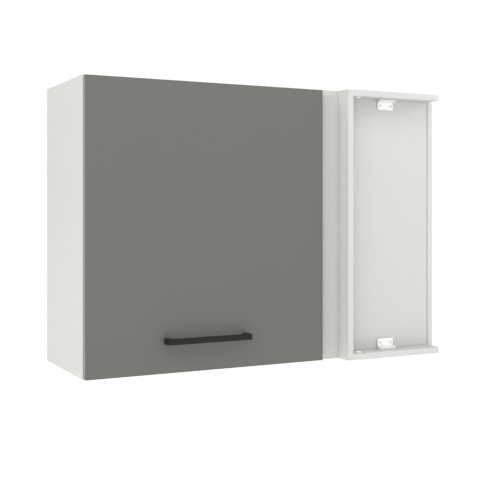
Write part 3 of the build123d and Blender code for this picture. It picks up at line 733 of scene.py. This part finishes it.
def hand_over(piece, material, slot, body, *replaced):
    """Dresses a finished piece and ties it to the model."""
    piece.data.materials.clear()
    piece.data.materials.append(material)
    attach(piece, body)
    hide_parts(*replaced)
    print(piece.name, "has", len(piece.data.polygons), "faces")


print("pieces can be finished")

# %% [markdown]
# ## Angle brackets of the spacer frame
#
# Two white moulded angles hold the spacer frame to the closed panel behind it. In the
# picture each shows its screws, rounded free corners, and a thin shadow round the leg on
# the panel, because such a moulding bears on a raised pad and its rim stands clear.
# An angle could be cut out of one large block, but it bevels more cleanly when it grows:
# a block for the leg on the panel, the other leg extruded from its edge, corners
# bevelled, and the two bearing faces inset and extruded as pads. Here z runs off the
# board and y off the panel.

# %% Bracket
BRACKET_WIDE = 0.046
BRACKET_LONG = 0.026
BRACKET_SHORT = 0.0185
BRACKET_THIN = 0.004
BRACKET_THICK = 0.007
PANEL_LEG_CORNER = 0.0035
BOARD_LEG_CORNER = 0.0020
BRACKET_EASE = 0.0004
RIM_OFF_PANEL = 0.0024
RIM_OFF_BOARD = 0.0006
RIM_INSET = 0.0040
ACROSS = (-BRACKET_WIDE / 2, BRACKET_WIDE / 2)


def leg_corners(reach_axis, reach, thin_axis):
    """A test for the two corner edges at a leg's free end."""
    return lambda middle, run: (near(abs(middle.x), BRACKET_WIDE / 2)
                                and near(middle[reach_axis], reach)
                                and abs(run[thin_axis]) > MOSTLY)


def bare_angle():
    """The bracket without its screw recesses, in its own frame."""
    piece = block("bracket", ACROSS, (RIM_OFF_PANEL, BRACKET_THIN), (RIM_OFF_BOARD, BRACKET_LONG))
    with editing(piece):
        bpy.ops.mesh.select_all(action="SELECT")
        bpy.ops.mesh.bisect(plane_co=(0, 0, BRACKET_THICK), plane_no=(0, 0, 1))
        pick_faces(piece, lambda middle, normal: normal.y > MOSTLY and middle.z < BRACKET_THICK)
        bpy.ops.mesh.extrude_region_move(
            TRANSFORM_OT_translate={"value": (0, BRACKET_SHORT - BRACKET_THIN, 0)})
        bpy.ops.mesh.select_mode(type="EDGE")
        pick_edges(piece, leg_corners(2, BRACKET_LONG, 1))
        bpy.ops.mesh.bevel(offset=PANEL_LEG_CORNER, segments=6, affect="EDGES")
        pick_edges(piece, leg_corners(1, BRACKET_SHORT, 2))
        bpy.ops.mesh.bevel(offset=BOARD_LEG_CORNER, segments=5, affect="EDGES")
        bpy.ops.mesh.select_mode(type="FACE")
        for axis, clear in ((1, RIM_OFF_PANEL), (2, RIM_OFF_BOARD)):
            pick_faces(piece, lambda middle, normal: (normal[axis] < -MOSTLY
                                                      and near(middle[axis], clear)))
            bpy.ops.mesh.inset(thickness=RIM_INSET, use_boundary=True)
            push = Vector((0, 0, 0))
            push[axis] = -clear
            bpy.ops.mesh.extrude_region_move(TRANSFORM_OT_translate={"value": push})
    return piece


bracket_pattern = bare_angle()
print("bracket without recesses:", len(bracket_pattern.data.polygons), "faces")

# %% [markdown]
# ## Recesses for its screws
#
# Each leg has two screws, whose heads sit in round recesses. The seats are listed once,
# in the bracket's own frame, because both the recesses and the screws need them. The
# cutters stand out of the leg, so that no thin skin is left over a recess.

# %% Recesses
SCREW_SPACING = 0.032
PANEL_LEG_SCREW = 0.0155
BOARD_LEG_SCREW = 0.01325
RECESS_RADIUS = 0.0037
RECESS_DEPTH = 0.0019
CUTTER_LENGTH = 0.0057


def bracket_seats():
    """Where the screws' heads bear, and which way they go in, in the bracket's frame."""
    seats = []
    for x in (-SCREW_SPACING / 2, SCREW_SPACING / 2):
        seats.append((Vector((x, BRACKET_THIN - RECESS_DEPTH, PANEL_LEG_SCREW)),
                      Vector((0, -1, 0))))
        seats.append((Vector((x, BOARD_LEG_SCREW, BRACKET_THICK - RECESS_DEPTH)),
                      Vector((0, 0, -1))))
    return seats


for seat, into in bracket_seats():
    cut(bracket_pattern, disc("recess", seat, -into, RECESS_RADIUS, CUTTER_LENGTH))
soften(bracket_pattern, BRACKET_EASE)
print("bracket pattern:", len(bracket_pattern.data.polygons), "faces")

# %% [markdown]
# ## Cross-head screw
#
# The brackets' screws are zinc-plated wood screws with a shallow domed head and a cross
# slot. The head starts as a short cylinder whose rim is bevelled into a dome, two thin
# blocks cut the slot, and a plain shank is joined on. Its thread is inside the wood,
# where nobody sees it.

# %% Screw pattern
HEAD_RADIUS = 0.0031
HEAD_HEIGHT = 0.0015
HEAD_ROUND = 0.00105
SHANK_RADIUS = 0.00175
SHANK_LENGTH = 0.012
SHANK_SIDES = 20
SLOT_WIDE = 0.0008
SLOT_LONG = 0.0034
SLOT_FLOOR = 0.000525


def cross_head_screw():
    """A screw that points down, with its seat at the origin."""
    piece = disc("screw", (0, 0, 0), (0, 0, 1), HEAD_RADIUS, HEAD_HEIGHT)
    with editing(piece, "EDGE"):
        pick_edges(piece, lambda middle, run: (near(middle.z, HEAD_HEIGHT)
                                               and abs(run.z) < HARDLY))
        bpy.ops.mesh.bevel(offset=HEAD_ROUND, segments=4, affect="EDGES")
    reach = (-SLOT_LONG / 2, SLOT_LONG / 2)
    width = (-SLOT_WIDE / 2, SLOT_WIDE / 2)
    for sides in ((reach, width), (width, reach)):
        cut(piece, block("slot", *sides, (SLOT_FLOOR, 2 * HEAD_HEIGHT)))
    shank = disc("shank", (0, 0, 0), (0, 0, -1), SHANK_RADIUS, SHANK_LENGTH, SHANK_SIDES)
    piece = joined("screw", [piece, shank])
    bpy.ops.object.shade_smooth_by_angle(angle=SMOOTH_BELOW)
    return piece


screw_pattern = cross_head_screw()
print("screw pattern:", len(screw_pattern.data.polygons), "faces")

# %% [markdown]
# ## Both brackets with their screws
#
# The finished bracket and screw are copied to their places. The upper bracket is the
# lower one turned over, and each screw is turned by another angle about its own axis, as
# a fitter leaves them.

# %% Brackets in place
SCREW_TURNS = (0.3, 1.1, 0.7, 1.4, 0.1, 0.9, 0.5, 1.2)
TURNED_OVER = {"centre_bracket_top": True, "centre_bracket_bottom": False}


def driven(seat, into, turn):
    """A copy of the screw with its head on the seat, turned about its own axis."""
    aim = (-into).to_track_quat("Z", "Y") @ Quaternion((0, 0, 1), turn)
    return placed(screw_pattern, Matrix.Translation(seat) @ aim.to_matrix().to_4x4())


def bracket_frame(node, at_top):
    """Where a bracket's own frame stands, and how it is turned."""
    lowest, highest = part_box(node)
    corner = Vector(((lowest.x + highest.x) / 2, highest.y, highest.z if at_top else lowest.z))
    return Matrix.Translation(corner) @ Matrix.Rotation(math.pi, 4, "X" if at_top else "Z")


turns = iter(SCREW_TURNS)
bracket_screws = []
for node, at_top in TURNED_OVER.items():
    own_frame = bracket_frame(node, at_top)
    bracket = placed(bracket_pattern, own_frame)
    bracket.name = "moulded_" + node
    hand_over(bracket, bracket_plastic, "white_plastic", "cabinet", node)
    for seat, into in bracket_seats():
        way = own_frame.to_3x3() @ into
        bracket_screws.append(driven(own_frame @ seat, way, next(turns)))
hand_over(joined("cross_head_bracket_screws", bracket_screws), zinc, "zinc_steel", "cabinet",
          "bracket_screws")
bpy.data.objects.remove(bracket_pattern)
bpy.data.objects.remove(screw_pattern)

# %% [markdown]
# ## Handle
#
# The handle is one piece of square-edged metal: a bar and two short legs, with a wide
# hollow curve where they meet. It could be swept along a path, but a sweep has trouble
# with a section that changes from bar to leg. So the bar is a block, cut across near both
# ends by bisecting. The two end faces at its back are extruded to the door, and the inner
# corners are bevelled into the hollow curves. The holes for its two screws are bored from
# the door.

# %% Handle
HANDLE_BAR = 0.008
HANDLE_LEG = 0.011
HANDLE_HOLLOW = 0.011
HANDLE_EASE = 0.0007
HANDLE_BORES_APART = 0.192
HANDLE_BORE_RADIUS = 0.00205
HANDLE_BORE_DEPTH = 0.0095
BORE_SIDES = 24


def bar_handle():
    """The bar handle, in its place on the door."""
    lowest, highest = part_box("handle")
    back_of_bar = lowest.y + HANDLE_BAR
    inner = (lowest.x + HANDLE_LEG, highest.x - HANDLE_LEG)
    piece = block("bar_handle", (lowest.x, highest.x), (lowest.y, back_of_bar),
                  (lowest.z, highest.z))
    with editing(piece):
        for x in inner:
            bpy.ops.mesh.select_all(action="SELECT")
            bpy.ops.mesh.bisect(plane_co=(x, 0, 0), plane_no=(1, 0, 0))
        pick_faces(piece, lambda middle, normal: (normal.y > MOSTLY
                                                  and not inner[0] < middle.x < inner[1]))
        bpy.ops.mesh.extrude_region_move(
            TRANSFORM_OT_translate={"value": (0, highest.y - back_of_bar, 0)})
        bpy.ops.mesh.select_mode(type="EDGE")
        pick_edges(piece, lambda middle, run: (abs(run.z) > MOSTLY
                                               and near(middle.y, back_of_bar)
                                               and any(near(middle.x, x) for x in inner)))
        bpy.ops.mesh.bevel(offset=HANDLE_HOLLOW, segments=10, affect="EDGES")
    middle = (lowest + highest) / 2
    for x in (middle.x - HANDLE_BORES_APART / 2, middle.x + HANDLE_BORES_APART / 2):
        cut(piece, disc("bore", (x, highest.y + HANDLE_BORE_DEPTH, middle.z), (0, -1, 0),
                        HANDLE_BORE_RADIUS, 2 * HANDLE_BORE_DEPTH, BORE_SIDES))
    soften(piece, HANDLE_EASE)
    return piece


hand_over(bar_handle(), black_metal, "black_metal", "door", "handle")

# %% [markdown]
# ## Eased boards
#
# A construction model has knife-sharp edges. On a real board the strip or the paper is
# trimmed with a tiny round, which catches a thin line of light. So each board with a strip
# is copied, the copy's loose triangles are merged into whole faces, and the edges of its
# front are bevelled by a third of a millimetre. Where two boards meet they stay sharp, as
# the saw leaves them: rounds there would open dark seams between the boards. The thicker
# strip round the door gets a wider round.

# %% Boards with a rounded front
MERGE_BELOW = 2e-6
SAME_PLANE = math.radians(1)
BOARD_EASE = 0.0003
BAND_EASE = 0.0007


def merged_copy(node):
    """A copy of a construction piece, with whole faces."""
    piece = bpy.data.objects.new("eased_" + node, nodes[node].data.copy())
    bpy.context.scene.collection.objects.link(piece)
    with editing(piece):
        bpy.ops.mesh.customdata_custom_splitnormals_clear()
        bpy.ops.mesh.select_all(action="SELECT")
        bpy.ops.mesh.remove_doubles(threshold=MERGE_BELOW)
        bpy.ops.mesh.dissolve_limited(angle_limit=SAME_PLANE)
    return piece


def ease_front(piece, width, segments):
    """Rounds the edges round the front face of a board."""
    front = min(corner.co.y for corner in piece.data.vertices)
    with editing(piece, "EDGE"):
        mesh = bmesh.from_edit_mesh(piece.data)
        for edge in mesh.edges:
            edge.select_set(edge.calc_face_angle() > SHARP_ABOVE
                            and all(near(end.co.y, front) for end in edge.verts))
        bmesh.update_edit_mesh(piece.data)
        bpy.ops.mesh.bevel(offset=width, segments=segments, affect="EDGES")
    bpy.ops.object.shade_smooth_by_angle(angle=SMOOTH_BELOW)


def stand_in(piece, node):
    """Gives a piece the finish and body of the construction piece it replaces, and hides that
    piece.
    """
    hand_over(piece, nodes[node].data.materials[0], slots[node], nodes[node]["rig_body"], node)


for boards in banded.values():
    for node in boards:
        board = merged_copy(node)
        ease_front(board, BOARD_EASE, segments=2)
        stand_in(board, node)
door_band = merged_copy("door_edge_band")
ease_front(door_band, BAND_EASE, segments=4)
stand_in(door_band, "door_edge_band")

# %% [markdown]
# ## Eased fittings
#
# Hinges, strut ends, pins and screws are pressed, turned or cast, and none of these leaves
# a sharp edge. Modelling each again would gain little, so their copies get a Bevel
# modifier on every sharp edge, with a width that suits how each is made. The hinges' arms
# are bent from sheet, so the two lower corners of their channel get a wide round first.

# %% Fittings
FITTING_EASE = {
    0.0002: ("handle_screws", "hinge_cup_screws", "hinge_plate_screws", "hinge_arm_screws",
             "spacer_screws", "blind_panel_screws", "strut_foot_screws", "strut_head_screws",
             "back_nails", "cam_locks"),
    0.0003: ("hinge_cup_left", "hinge_cup_right", "hinge_cup_pins", "strut_gland"),
    0.0004: ("hinge_arm_left", "hinge_arm_right", "hinge_plate_left", "hinge_plate_right",
             "strut_foot_socket", "strut_head_socket", "strut_foot_bracket"),
    0.0006: ("hinge_link_left", "hinge_link_right", "shelf_pins", "hinge_arm_rivets",
             "strut_head_bracket"),
    0.0009: ("door_bumpers",),
}
HINGE_ARMS = ("hinge_arm_left", "hinge_arm_right")
BEND_RADIUS = 0.0020


def bend_corners(arm):
    """Gives the channel's two lower corners the outer round of bent sheet."""
    lowest, highest = box_around([corner.co for corner in arm.data.vertices])
    with editing(arm, "EDGE"):
        pick_edges(arm, lambda middle, run: (abs(run.y) > MOSTLY and near(middle.z, lowest.z)
                                             and (near(middle.x, lowest.x)
                                                  or near(middle.x, highest.x))))
        bpy.ops.mesh.bevel(offset=BEND_RADIUS, segments=4, affect="EDGES")


for width, group in FITTING_EASE.items():
    for node in group:
        fitting = merged_copy(node)
        if node in HINGE_ARMS:
            bend_corners(fitting)
        soften(fitting, width, segments=2)
        stand_in(fitting, node)

# %% [markdown]
# ## Strut tube
#
# The tube of a gas strut is closed at its foot and rolled in at its other end, and a
# pressed groove below that end holds the seal. Turning a profile with spin would work,
# but a cylinder is quicker to shape: it is cut across three times, the middle cut is
# scaled inwards as the groove, both rims are bevelled, and the inside is bored. It is
# modelled upright at the origin and then tilted into the strut's line, which the record
# gives with its joints.

# %% Tube with a rolled end and a groove
TUBE_RADIUS = 0.0075
TUBE_BORE = 0.0063
TUBE_BASE = 0.004
TUBE_ROUND = 0.0010
TUBE_SIDES = 48
GROOVE_BELOW_END = 0.0125
GROOVE_HALF = 0.0014
GROOVE_SCALE = 0.935
joints = {joint["name"]: joint for joint in frame["joints"]}
strut_foot = Vector(joints["strut_swing"]["pos_m"])
strut_way = Vector(joints["strut_stroke"]["axis"]).normalized()


def grooved_tube():
    """The strut's tube in its place."""
    reach = [strut_way.dot(corner.co - strut_foot)
             for corner in nodes["strut_tube"].data.vertices]
    start, end = min(reach), max(reach)
    groove = end - GROOVE_BELOW_END
    piece = disc("grooved_strut_tube", (0, 0, start), (0, 0, 1), TUBE_RADIUS, end - start,
                 TUBE_SIDES)
    with editing(piece, "EDGE"):
        for level in (groove - GROOVE_HALF, groove, groove + GROOVE_HALF):
            bpy.ops.mesh.select_all(action="SELECT")
            bpy.ops.mesh.bisect(plane_co=(0, 0, level), plane_no=(0, 0, 1))
        pick_edges(piece, lambda middle, run: near(middle.z, groove) and abs(run.z) < HARDLY)
        bpy.ops.transform.resize(value=(GROOVE_SCALE, GROOVE_SCALE, 1),
                                 center_override=(0, 0, groove))
        bpy.ops.mesh.bevel(offset=GROOVE_HALF / 2, segments=3, affect="EDGES")
        pick_edges(piece, lambda middle, run: (abs(run.z) < HARDLY
                                               and (near(middle.z, start)
                                                    or near(middle.z, end))))
        bpy.ops.mesh.bevel(offset=TUBE_ROUND, segments=4, affect="EDGES")
    cut(piece, disc("bore", (0, 0, start + TUBE_BASE), (0, 0, 1), TUBE_BORE, end, TUBE_SIDES))
    bpy.ops.object.shade_smooth_by_angle(angle=SMOOTH_BELOW)
    aim = strut_way.to_track_quat("Z", "Y").to_matrix().to_4x4()
    piece.matrix_world = Matrix.Translation(strut_foot) @ aim
    return apply_place(piece)


stand_in(grooved_tube(), "strut_tube")

# %% [markdown]
# ## Covers on the cam joints
#
# A white cap closes each cam joint. It is a thin disc that swells towards its middle and
# has a round rim. A flattened ball would have no rim, so the cap starts as a short
# cylinder. Its face is inset twice and raised a little each time, and the rim is bevelled.
# The caps in the two corners of the spacer frame show in the picture as small white spots.

# %% Cap pattern
COVER_RADIUS = 0.0085
COVER_RIM = 0.0017
COVER_RIM_ROUND = 0.00119
COVER_STEPS = ((0.0022, 0.0007), (0.0028, 0.0003))
COVER_SIDES = 48
AT_RIM = 0.95


def cam_cover():
    """One cap, lying on z = 0 with its face up."""
    piece = disc("cap", (0, 0, 0), (0, 0, 1), COVER_RADIUS, COVER_RIM, COVER_SIDES)
    with editing(piece):
        pick_faces(piece, lambda middle, normal: normal.z > MOSTLY)
        for inwards, up in COVER_STEPS:
            bpy.ops.mesh.inset(thickness=inwards)
            bpy.ops.transform.translate(value=(0, 0, up))
        bpy.ops.mesh.select_mode(type="EDGE")
        pick_edges(piece, lambda middle, run: (near(middle.z, COVER_RIM)
                                               and middle.xy.length > COVER_RADIUS * AT_RIM))
        bpy.ops.mesh.bevel(offset=COVER_RIM_ROUND, segments=3, affect="EDGES")
    bpy.ops.object.shade_smooth_by_angle(angle=SMOOTH_BELOW)
    return piece


cover_pattern = cam_cover()
print("cap pattern:", len(cover_pattern.data.polygons), "faces")

# %% [markdown]
# ## A cap on each joint
#
# The construction holds all its caps in one piece. Following the edges from corner to
# corner parts them again, and the box around each says where a new cap belongs. Those in
# the upper half hang under a top board, face down, and the others lie on a bottom board.

# %% Caps in place


def loose_boxes(node):
    """The box around each separate solid in a construction piece."""
    mesh = bmesh.new()
    mesh.from_mesh(nodes[node].data)
    bmesh.ops.remove_doubles(mesh, verts=mesh.verts, dist=MERGE_BELOW)
    waiting = set(mesh.verts)
    boxes = []
    while waiting:
        group = [waiting.pop()]
        for corner in group:
            neighbours = {edge.other_vert(corner) for edge in corner.link_edges} & waiting
            waiting -= neighbours
            group.extend(neighbours)
        boxes.append(box_around([corner.co for corner in group]))
    mesh.free()
    return sorted(boxes, key=lambda box: tuple(box[0]))


half_way_up = (low.z + high.z) / 2
caps = []
for lowest, highest in loose_boxes("cam_covers"):
    hangs = lowest.z > half_way_up
    seat = (lowest + highest) / 2
    seat.z = highest.z if hangs else lowest.z
    flip = Matrix.Rotation(math.pi if hangs else 0.0, 4, "X")
    caps.append(placed(cover_pattern, Matrix.Translation(seat) @ flip))
stand_in(joined("domed_cam_covers", caps), "cam_covers")
bpy.data.objects.remove(cover_pattern)

# %% [markdown]
# ## Floor
#
# The cabinet hangs in an all-white room. A wide pale floor lies well below it, as the
# floor of a room lies below a wall cabinet. A photographer would light such a floor so
# that it stays white up to the horizon: here a little emission does that. The glow fades
# towards the spot right below the cabinet, where a real floor lies in its soft shadow,
# so the undersides of the boards stay a little darker than their fronts.

# %% Floor
FLOOR_BELOW = 1.40
FLOOR_HALF = 60.0
FLOOR_GLOW = 0.66
SHADE_NEAR = 0.8
SHADE_FAR = 4.0
SHADE_LEVEL = 0.25
FLOOR_DARK = grey(0.93)
FLOOR_LIGHT = grey(0.95)


def floor_finish():
    """A pale finish whose faint glow fades towards the middle."""
    shader = Shader("pale floor")
    cloud = shader.noise(per_metre=0.6)
    away = shader.value("ShaderNodeVectorMath", {"operation": "LENGTH"}, {0: shader.place},
                        "Value")
    fade = shader.value("ShaderNodeMapRange", {"interpolation_type": "SMOOTHSTEP"},
                        {"Value": away, "From Min": SHADE_NEAR, "From Max": SHADE_FAR})
    return shader.finish(Base_Color=shader.blend(cloud, FLOOR_DARK, FLOOR_LIGHT),
                         Roughness=0.9, Specular_IOR_Level=0.2, Emission_Strength=FLOOR_GLOW,
                         Emission_Color=shader.blend(fade, grey(SHADE_LEVEL), grey(1.0)))


bpy.ops.object.select_all(action="DESELECT")
bpy.ops.mesh.primitive_plane_add(size=2 * FLOOR_HALF, location=(0, 0, low.z - FLOOR_BELOW))
floor = bpy.context.object
floor.name = "floor"
floor.data.materials.append(floor_finish())
print("floor is", FLOOR_BELOW, "m below the cabinet")

# %% [markdown]
# ## Surrounding light
#
# The picture was lit softly from all around: shadows are faint and every face is light.
# An even surrounding does that. It lights the cabinet at less than half the level at
# which it is seen, which is what a white cloth far behind the object does, so the
# background stays pure white while the boards keep their tone.

# %% Surrounding
SURROUNDING_LIGHT = 0.40
SURROUNDING_SEEN = 1.02


def studio_world(light, seen):
    """An even surrounding: one level where it gives light, another where it is seen."""
    world = bpy.data.worlds.new("white surrounding")
    world.use_nodes = True
    tree = NodeTree(world.node_tree)
    is_seen = tree.node("ShaderNodeLightPath").outputs["Is Camera Ray"]
    level = tree.node("ShaderNodeMix", {}, {"Factor": is_seen, "A": light, "B": seen})
    background = world.node_tree.nodes["Background"]
    tree.feed(background.inputs["Color"], grey(1.0))
    tree.feed(background.inputs["Strength"], level.outputs["Result"])
    bpy.context.scene.world = world


studio_world(SURROUNDING_LIGHT, SURROUNDING_SEEN)
print("surrounding gives", SURROUNDING_LIGHT, "and shows", SURROUNDING_SEEN)

# %% [markdown]
# ## Soft boxes
#
# The rest of the light comes from six large soft boxes. Two stand at the sides and two
# hang in front, and their light comes from above. With those alone the spacer frame would
# be much darker under its top board than above its bottom board, and in the picture the
# two are alike. So two more stand in front at the left and right, far lower, and the left
# one is the stronger, because the faces that look that way are the lighter ones. All six
# point at one spot a little above the cabinet, and the camera doesn't see them.

# %% Soft boxes
AIM = Vector((0.0, -0.15, 0.33))
# Each box has its place, the length of its sides, and its power in watts.
SOFT_BOXES = {
    "soft box left": ((-3.4, -0.5, 1.7), 2.0, 47.0),
    "soft box right": ((3.4, -1.6, 1.7), 2.0, 50.0),
    "soft box left, level": ((-3.0, -3.0, 0.35), 2.5, 50.0),
    "soft box right, level": ((3.0, -3.0, 0.35), 2.5, 14.0),
    "soft box in front": ((0.0, -3.0, 3.2), 2.5, 38.0),
    "soft box upper left": ((-2.6, -2.2, 3.0), 2.5, 25.0),
}


def soft_box(name, place, size, power):
    """A square area lamp that points at the spot just above the cabinet."""
    data = bpy.data.lights.new(name, "AREA")
    data.size = size
    data.energy = power
    lamp = bpy.data.objects.new(name, data)
    lamp.location = place
    lamp.rotation_euler = (AIM - Vector(place)).to_track_quat("-Z", "Y").to_euler()
    lamp.visible_camera = False
    bpy.context.scene.collection.objects.link(lamp)


for name, (place, size, power) in SOFT_BOXES.items():
    soft_box(name, place, size, power)
print("soft boxes:", len(SOFT_BOXES))

# %% [markdown]
# ## Camera
#
# The picture's vertical edges are upright, so the camera looks level and its sensor is
# shifted. Its place and lens follow from the two vanishing points of the door's edges.
# The horizon's row in the picture gives the shift.

# %% Camera
LENS = 69.86
SENSOR = 36.0
TURN = math.radians(26.78)
LEFT_OF_SIDE = 0.6021
BEFORE_FRONT = 1.9462
ABOVE_BOTTOM = 0.37225
HORIZON_PIXEL = 207.5
PICTURE = 480
SEES_UP_TO = 500.0


def picture_camera():
    """The camera of the photograph."""
    data = bpy.data.cameras.new("camera")
    data.lens = LENS
    data.sensor_width = SENSOR
    data.shift_y = (HORIZON_PIXEL - PICTURE / 2) / PICTURE
    data.clip_end = SEES_UP_TO
    camera = bpy.data.objects.new("camera", data)
    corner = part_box("left_side")[0]
    camera.location = (corner.x - LEFT_OF_SIDE, corner.y - BEFORE_FRONT, corner.z + ABOVE_BOTTOM)
    camera.rotation_euler = (math.pi / 2, 0.0, -TURN)
    bpy.context.scene.collection.objects.link(camera)
    bpy.context.scene.camera = camera
    return camera


bpy.context.scene.view_settings.view_transform = "Standard"
print("camera stands at", picture_camera().location)

# %% [markdown]
# ## Done

# %% Done
print("the cabinet is dressed")
